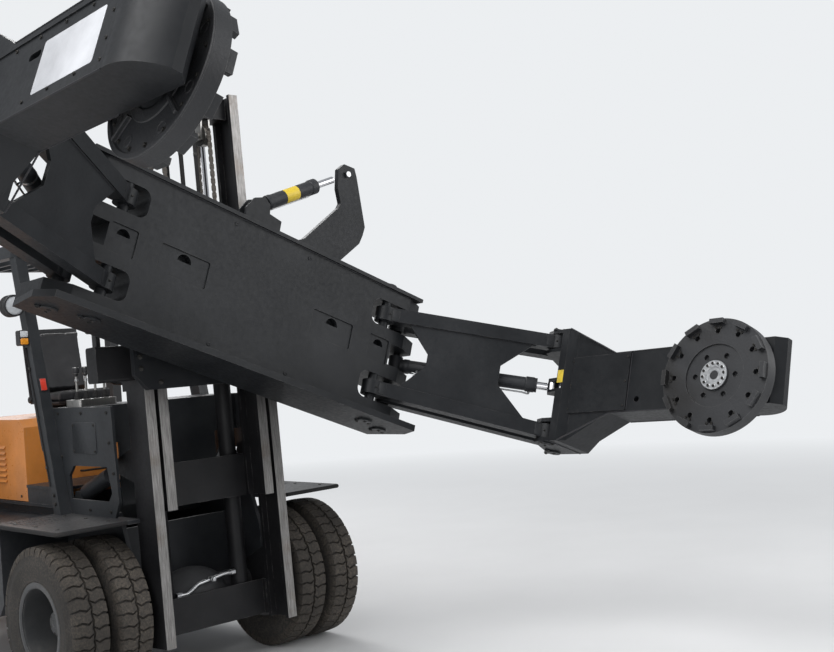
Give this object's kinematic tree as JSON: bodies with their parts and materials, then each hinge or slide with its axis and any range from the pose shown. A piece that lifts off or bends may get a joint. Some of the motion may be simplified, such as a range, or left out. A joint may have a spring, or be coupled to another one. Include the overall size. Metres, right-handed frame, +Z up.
{
  "type": "truck-mounted tyre handler",
  "caption": "heavy forklift truck with twin front tyres and a two-stage mast that carries a rotating tyre handler on linked gripping arms with turning pads",
  "frame": {"origin": "on the floor, under the middle of the machine's overall length and width", "axes": "+X forward, +Y to the driver's left, +Z up"},
  "size_m": [7.1634, 4.7298, 3.967],
  "materials": {
    "handler_black": "blue-black satin paint with worn edges",
    "mast_black": "black mast paint with greased tracks",
    "frame_black": "satin black paint",
    "control_plastic": "dark control plastic",
    "body_orange": "gloss orange paint",
    "cab_grey": "satin dark grey cab paint",
    "cast_dark": "dark painted casting",
    "rim_grey": "pale grey painted wheel metal",
    "tyre_rubber": "matte black tyre rubber with a little dust",
    "chain_steel": "oiled leaf chain",
    "rod_chrome": "hard chromed rod",
    "hose_rubber": "black hydraulic hose",
    "lamp_housing": "black lamp housing",
    "bare_steel": "bright worn steel",
    "seat_vinyl": "black seat vinyl"
  },
  "bodies": {
    "truck": {"chassis": "frame_black", "cowl": "cab_grey", "overhead_guard": "cab_grey", "engine_block": "cast_dark", "counterweight": "body_orange", "radiator_grille": "frame_black", "rear_axle": "cast_dark", "front_axle": "cast_dark", "steering_column": "control_plastic", "control_levers": "control_plastic", "work_lamps": "lamp_housing"},
    "hood": {"hood": "body_orange", "hood_sides": "body_orange", "seat": "seat_vinyl"},
    "wheel_front_left": {"front_tyres_left": "tyre_rubber", "front_rims_left": "rim_grey"},
    "wheel_front_right": {"front_tyres_right": "tyre_rubber", "front_rims_right": "rim_grey"},
    "knuckle_left": {"knuckle_left": "cast_dark"},
    "knuckle_right": {"knuckle_right": "cast_dark"},
    "wheel_rear_left": {"rear_tyre_left": "tyre_rubber", "rear_rim_left": "rim_grey"},
    "wheel_rear_right": {"rear_tyre_right": "tyre_rubber", "rear_rim_right": "rim_grey"},
    "mast": {"outer_mast": "mast_black", "lift_barrels": "mast_black", "mast_lamps": "lamp_housing"},
    "tilt_barrels": {"tilt_barrels": "frame_black"},
    "tilt_rods": {"tilt_rods": "rod_chrome"},
    "inner_mast": {"inner_mast": "mast_black", "lift_rods": "rod_chrome", "mast_pulleys": "bare_steel", "lift_chains": "chain_steel", "mast_hoses": "hose_rubber"},
    "carriage": {"carriage": "mast_black", "rotator_drum": "cast_dark"},
    "handler": {"handler_beam": "handler_black"},
    "stay_hook": {"stay_hook": "handler_black"},
    "stay_barrel": {"stay_barrel": "frame_black"},
    "stay_rod": {"stay_rod": "rod_chrome"},
    "link_left": {"link_left": "handler_black"},
    "rear_link_left": {"rear_link_left": "handler_black"},
    "arm_left": {"arm_left": "handler_black"},
    "pad_left": {"pad_left": "cast_dark"},
    "swing_barrel_left": {"swing_barrel_left": "frame_black"},
    "swing_rod_left": {"swing_rod_left": "rod_chrome"},
    "link_right": {"link_right": "handler_black"},
    "rear_link_right": {"rear_link_right": "handler_black"},
    "arm_right": {"arm_right": "handler_black"},
    "pad_right": {"pad_right": "cast_dark"},
    "swing_barrel_right": {"swing_barrel_right": "frame_black"},
    "swing_rod_right": {"swing_rod_right": "rod_chrome"}
  },
  "joints": [
    {"name": "front_wheels_left", "type": "hinge", "parent": "truck", "child": "wheel_front_left", "pos_m": [0.0183, 0.853, 0.509], "axis": [0, 1, 0], "continuous": true},
    {"name": "steer_left", "type": "hinge", "parent": "truck", "child": "knuckle_left", "pos_m": [-2.7817, 0.69, 0.509], "axis": [0, 0, 1], "range_deg": [-50, 50]},
    {"name": "rear_wheel_left", "type": "hinge", "parent": "knuckle_left", "child": "wheel_rear_left", "pos_m": [-2.7817, 0.92, 0.509], "axis": [0, 1, 0], "continuous": true},
    {"name": "front_wheels_right", "type": "hinge", "parent": "truck", "child": "wheel_front_right", "pos_m": [0.0183, -0.853, 0.509], "axis": [0, 1, 0], "continuous": true},
    {"name": "steer_right", "type": "hinge", "parent": "truck", "child": "knuckle_right", "pos_m": [-2.7817, -0.69, 0.509], "axis": [0, 0, 1], "range_deg": [-50, 50]},
    {"name": "rear_wheel_right", "type": "hinge", "parent": "knuckle_right", "child": "wheel_rear_right", "pos_m": [-2.7817, -0.92, 0.509], "axis": [0, 1, 0], "continuous": true},
    {"name": "hood_open", "type": "hinge", "parent": "truck", "child": "hood", "pos_m": [-2.2717, 0, 1.742], "axis": [0, -1, 0], "range_deg": [0, 45]},
    {"name": "mast_tilt", "type": "hinge", "parent": "truck", "child": "mast", "pos_m": [0.0183, 0, 0.509], "axis": [0, 1, 0], "range_deg": [-7.8, 7.2]},
    {"name": "tilt_cylinder_swing", "type": "hinge", "parent": "truck", "child": "tilt_barrels", "pos_m": [-0.5217, 0, 1.23], "axis": [0, 1, 0], "range_deg": [-5.18, 4.82]},
    {"name": "tilt_cylinder_stroke", "type": "slide", "parent": "tilt_barrels", "child": "tilt_rods", "axis": [0.9389, 0, 0.3442], "range_m": [-0.1226, 0.1136]},
    {"name": "lift", "type": "slide", "parent": "mast", "child": "inner_mast", "axis": [-0.0384, 0, 0.9993], "range_m": [-0.86, 0.69]},
    {"name": "carriage_lift", "type": "slide", "parent": "inner_mast", "child": "carriage", "axis": [-0.0384, 0, 0.9993], "range_m": [-0.86, 0.69]},
    {"name": "rotator", "type": "hinge", "parent": "carriage", "child": "handler", "pos_m": [0.45014, 0, 2.45119], "axis": [0.9993, 0, 0.0384], "continuous": true},
    {"name": "link_left", "type": "hinge", "parent": "handler", "child": "link_left", "pos_m": [1.06434, 0.97828, 2.09309], "axis": [-0.0358, 0.3633, 0.931], "range_deg": [-75, 5]},
    {"name": "rear_link_left", "type": "hinge", "parent": "handler", "child": "rear_link_left", "pos_m": [0.96748, 1.18325, 2.0094], "axis": [-0.0358, 0.3633, 0.931], "range_deg": [-75, 5]},
    {"name": "arm_left", "type": "hinge", "parent": "link_left", "child": "arm_left", "pos_m": [1.80324, 1.94296, 1.74509], "axis": [-0.0358, 0.3633, 0.931], "range_deg": [-5, 75]},
    {"name": "pad_left", "type": "hinge", "parent": "arm_left", "child": "pad_left", "pos_m": [3.19322, 1.80554, 1.7984], "axis": [0.0139, 0.9317, -0.363], "continuous": true},
    {"name": "swing_cylinder_left", "type": "hinge", "parent": "handler", "child": "swing_barrel_left", "pos_m": [0.93841, 1.24381, 1.98465], "axis": [-0.0358, 0.3633, 0.931], "range_deg": [-71.75, 5.25]},
    {"name": "swing_stroke_left", "type": "slide", "parent": "swing_barrel_left", "child": "swing_rod_left", "axis": [0.7602, 0.6146, -0.2106], "range_m": [-0.0301, 0.382]},
    {"name": "link_right", "type": "hinge", "parent": "handler", "child": "link_right", "pos_m": [1.03505, -0.97828, 2.85536], "axis": [0.0358, -0.3633, -0.931], "range_deg": [-75, 5]},
    {"name": "rear_link_right", "type": "hinge", "parent": "handler", "child": "rear_link_right", "pos_m": [0.93206, -1.18325, 2.93138], "axis": [0.0358, -0.3633, -0.931], "range_deg": [-75, 5]},
    {"name": "arm_right", "type": "hinge", "parent": "link_right", "child": "arm_right", "pos_m": [1.74508, -1.94296, 3.25902], "axis": [0.0358, -0.3633, -0.931], "range_deg": [-5, 75]},
    {"name": "pad_right", "type": "hinge", "parent": "arm_right", "child": "pad_right", "pos_m": [3.13863, -1.84186, 3.21941], "axis": [0.0139, 0.9317, -0.363], "continuous": true},
    {"name": "swing_cylinder_right", "type": "hinge", "parent": "handler", "child": "swing_barrel_right", "pos_m": [0.90117, -1.24381, 2.95382], "axis": [0.0358, -0.3633, -0.931], "range_deg": [-71.75, 5.25]},
    {"name": "swing_stroke_right", "type": "slide", "parent": "swing_barrel_right", "child": "swing_rod_right", "axis": [0.7418, -0.6146, 0.2683], "range_m": [-0.0301, 0.382]},
    {"name": "stay_hook", "type": "hinge", "parent": "handler", "child": "stay_hook", "pos_m": [0.85988, 0.42299, 2.72617], "axis": [0.9993, 0, 0.0384], "range_deg": [-2, 20]},
    {"name": "stay_cylinder", "type": "hinge", "parent": "handler", "child": "stay_barrel", "pos_m": [0.84497, 0.21699, 3.11424], "axis": [0.9993, 0, 0.0384], "range_deg": [-2.45, 20]},
    {"name": "stay_stroke", "type": "slide", "parent": "stay_barrel", "child": "stay_rod", "axis": [-0.0115, 0.954, 0.2996], "range_m": [-0.1579, 0.0203]}
  ],
  "couplings": [
    {"joint": "steer_right", "follows": "steer_left", "ratio": 1},
    {"joint": "tilt_cylinder_swing", "follows": "mast_tilt", "ratio": 0.6},
    {"joint": "tilt_cylinder_stroke", "follows": "mast_tilt", "m_per_rad": 0.864},
    {"joint": "carriage_lift", "follows": "lift", "ratio": 1},
    {"joint": "stay_cylinder", "follows": "stay_hook", "ratio": 0.975},
    {"joint": "stay_stroke", "follows": "stay_hook", "m_per_rad": -0.438},
    {"joint": "rear_link_left", "follows": "link_left", "ratio": 1},
    {"joint": "arm_left", "follows": "link_left", "ratio": -1},
    {"joint": "swing_cylinder_left", "follows": "link_left", "ratio": 0.95},
    {"joint": "swing_stroke_left", "follows": "link_left", "m_per_rad": -0.288},
    {"joint": "rear_link_right", "follows": "link_right", "ratio": 1},
    {"joint": "arm_right", "follows": "link_right", "ratio": -1},
    {"joint": "swing_cylinder_right", "follows": "link_right", "ratio": 0.95},
    {"joint": "swing_stroke_right", "follows": "link_right", "m_per_rad": -0.288}
  ]
}
